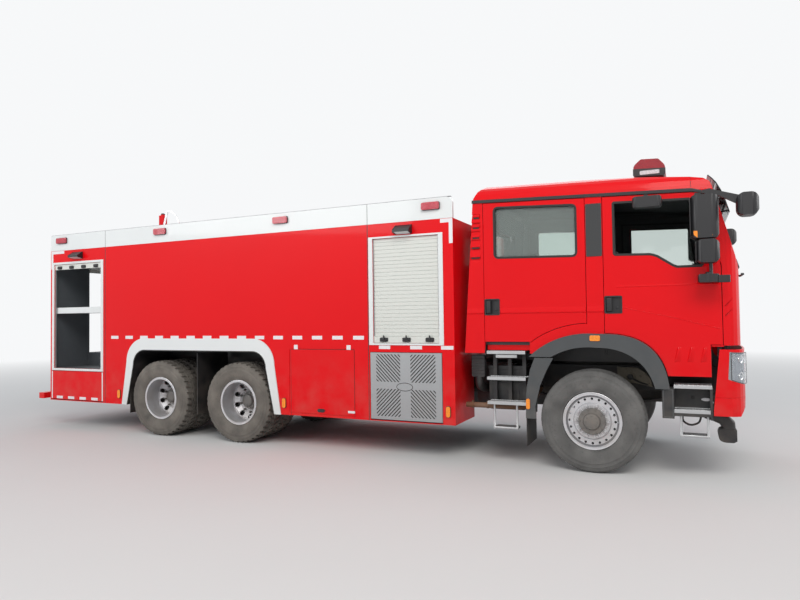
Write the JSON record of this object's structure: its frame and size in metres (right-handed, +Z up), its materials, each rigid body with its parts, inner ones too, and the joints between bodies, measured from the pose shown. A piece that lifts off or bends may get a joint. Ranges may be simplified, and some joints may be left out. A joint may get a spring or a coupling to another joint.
{
  "type": "airport fire truck",
  "caption": "Airport fire truck: tilting crew cab with opening doors, tank body, lockers with shutters and fold-down steps, roof monitor.",
  "frame": {"origin": "middle of the truck's length and width, on the ground", "axes": "+X forward, +Y to the truck's left, +Z up"},
  "size_m": [10.14, 2.92, 3.504],
  "materials": {
    "painted_red": "gloss",
    "painted_white": "gloss",
    "frame_steel": "satin black",
    "cast": "dark cast",
    "black_plastic": "grained",
    "grey_plastic": "grained",
    "lamp_plastic": "clear moulded",
    "tread_aluminium": "ribbed",
    "rim_steel": "silver paint",
    "tyre": "rubber",
    "window": "tinted",
    "seat_cloth": "woven",
    "slat": "white lacquer",
    "red_lens": "clear moulded"
  },
  "bodies": {
    "chassis": {"chassis_rails": "frame_steel", "engine_block": "cast", "front_axle": "frame_steel", "rear_axles": "frame_steel", "bumpers": "painted_red", "lamps": "lamp_plastic", "side_steps": "tread_aluminium", "mudguards": "black_plastic", "tank_body": "painted_red", "front_locker": "painted_red", "rear_locker": "painted_red", "parapets": "painted_white", "shutters": "slat", "side_trims": "painted_white", "pump_unit": "grey_plastic", "locker_shelves": "painted_white", "roof_hatches": "tread_aluminium", "monitor_base": "painted_red"},
    "cab": {"cab_floor": "grey_plastic", "cab_walls": "painted_red", "cab_roof": "painted_red", "cab_front": "painted_red", "windscreen": "window", "sun_visor": "black_plastic", "light_bar": "red_lens", "seats": "seat_cloth", "dashboard": "black_plastic", "cab_fenders": "grey_plastic"},
    "front_door_right": {"door_front_right": "painted_red", "mirrors_right": "black_plastic"},
    "front_door_left": {"door_front_left": "painted_red", "glass_front_left": "window", "mirrors_left": "black_plastic"},
    "rear_door_right": {"door_rear_right": "painted_red", "glass_rear_right": "window"},
    "rear_door_left": {"door_rear_left": "painted_red", "glass_rear_left": "window"},
    "front_step_flap_right": {"step_flap_front_right": "tread_aluminium"},
    "front_step_flap_left": {"step_flap_front_left": "tread_aluminium"},
    "rear_step_flap_right": {"step_flap_rear_right": "painted_red"},
    "rear_step_flap_left": {"step_flap_rear_left": "painted_red"},
    "steering_right": {"knuckle_right": "cast"},
    "front_wheel_right": {"rim_front_right": "rim_steel", "tyre_front_right": "tyre"},
    "steering_left": {"knuckle_left": "cast"},
    "front_wheel_left": {"rim_front_left": "rim_steel", "tyre_front_left": "tyre"},
    "middle_wheels_right": {"rims_middle_right": "rim_steel", "tyres_middle_right": "tyre"},
    "middle_wheels_left": {"rims_middle_left": "rim_steel", "tyres_middle_left": "tyre"},
    "rear_wheels_right": {"rims_rear_right": "rim_steel", "tyres_rear_right": "tyre"},
    "rear_wheels_left": {"rims_rear_left": "rim_steel", "tyres_rear_left": "tyre"},
    "monitor_turret": {"monitor_swivel": "painted_red"},
    "monitor_pipe": {"monitor_barrel": "painted_red"}
  },
  "joints": [
    {"name": "cab_tilt", "type": "hinge", "parent": "chassis", "child": "cab", "pos_m": [4.86, 0, 1.02], "axis": [0, -1, 0], "range_deg": [-45, 0]},
    {"name": "front_door_right_hinge", "type": "hinge", "parent": "cab", "child": "front_door_right", "pos_m": [4.745, -1.145, 1.7], "axis": [0, 0, 1], "range_deg": [0, 70]},
    {"name": "rear_door_right_hinge", "type": "hinge", "parent": "cab", "child": "rear_door_right", "pos_m": [3.477, -1.145, 2.1], "axis": [0, 0, 1], "range_deg": [0, 70]},
    {"name": "front_door_left_hinge", "type": "hinge", "parent": "cab", "child": "front_door_left", "pos_m": [4.745, 1.145, 1.7], "axis": [0, 0, -1], "range_deg": [0, 70]},
    {"name": "rear_door_left_hinge", "type": "hinge", "parent": "cab", "child": "rear_door_left", "pos_m": [3.477, 1.145, 2.1], "axis": [0, 0, -1], "range_deg": [0, 70]},
    {"name": "front_step_flap_right_hinge", "type": "hinge", "parent": "chassis", "child": "front_step_flap_right", "pos_m": [1.435, -1.236, 0.456], "axis": [1, 0, 0], "range_deg": [0, 90]},
    {"name": "front_step_flap_left_hinge", "type": "hinge", "parent": "chassis", "child": "front_step_flap_left", "pos_m": [1.435, 1.236, 0.456], "axis": [-1, 0, 0], "range_deg": [0, 90]},
    {"name": "rear_step_flap_right_hinge", "type": "hinge", "parent": "chassis", "child": "rear_step_flap_right", "pos_m": [-4.16, -1.236, 0.456], "axis": [1, 0, 0], "range_deg": [0, 90]},
    {"name": "rear_step_flap_left_hinge", "type": "hinge", "parent": "chassis", "child": "rear_step_flap_left", "pos_m": [-4.16, 1.236, 0.456], "axis": [-1, 0, 0], "range_deg": [0, 90]},
    {"name": "steer_right", "type": "hinge", "parent": "chassis", "child": "steering_right", "pos_m": [3.52, -0.87, 0.538], "axis": [0, 0, 1], "range_deg": [-38, 38]},
    {"name": "front_wheel_right_spin", "type": "hinge", "parent": "steering_right", "child": "front_wheel_right", "pos_m": [3.52, -1.011, 0.538], "axis": [0, 1, 0], "continuous": true},
    {"name": "steer_left", "type": "hinge", "parent": "chassis", "child": "steering_left", "pos_m": [3.52, 0.87, 0.538], "axis": [0, 0, 1], "range_deg": [-38, 38]},
    {"name": "front_wheel_left_spin", "type": "hinge", "parent": "steering_left", "child": "front_wheel_left", "pos_m": [3.52, 1.011, 0.538], "axis": [0, 1, 0], "continuous": true},
    {"name": "middle_wheels_right_spin", "type": "hinge", "parent": "chassis", "child": "middle_wheels_right", "pos_m": [-1.055, -0.915, 0.538], "axis": [0, 1, 0], "continuous": true},
    {"name": "middle_wheels_left_spin", "type": "hinge", "parent": "chassis", "child": "middle_wheels_left", "pos_m": [-1.055, 0.915, 0.538], "axis": [0, 1, 0], "continuous": true},
    {"name": "rear_wheels_right_spin", "type": "hinge", "parent": "chassis", "child": "rear_wheels_right", "pos_m": [-2.455, -0.915, 0.538], "axis": [0, 1, 0], "continuous": true},
    {"name": "rear_wheels_left_spin", "type": "hinge", "parent": "chassis", "child": "rear_wheels_left", "pos_m": [-2.455, 0.915, 0.538], "axis": [0, 1, 0], "continuous": true},
    {"name": "monitor_swing", "type": "hinge", "parent": "chassis", "child": "monitor_turret", "pos_m": [-3.53, 0, 3.04], "axis": [0, 0, 1], "range_deg": [-170, 170]},
    {"name": "monitor_lift", "type": "hinge", "parent": "monitor_turret", "child": "monitor_pipe", "pos_m": [-3.53, 0, 3.22], "axis": [0, -1, 0], "range_deg": [-15, 70]}
  ],
  "couplings": [
    {"joint": "steer_left", "follows": "steer_right", "ratio": 1}
  ]
}
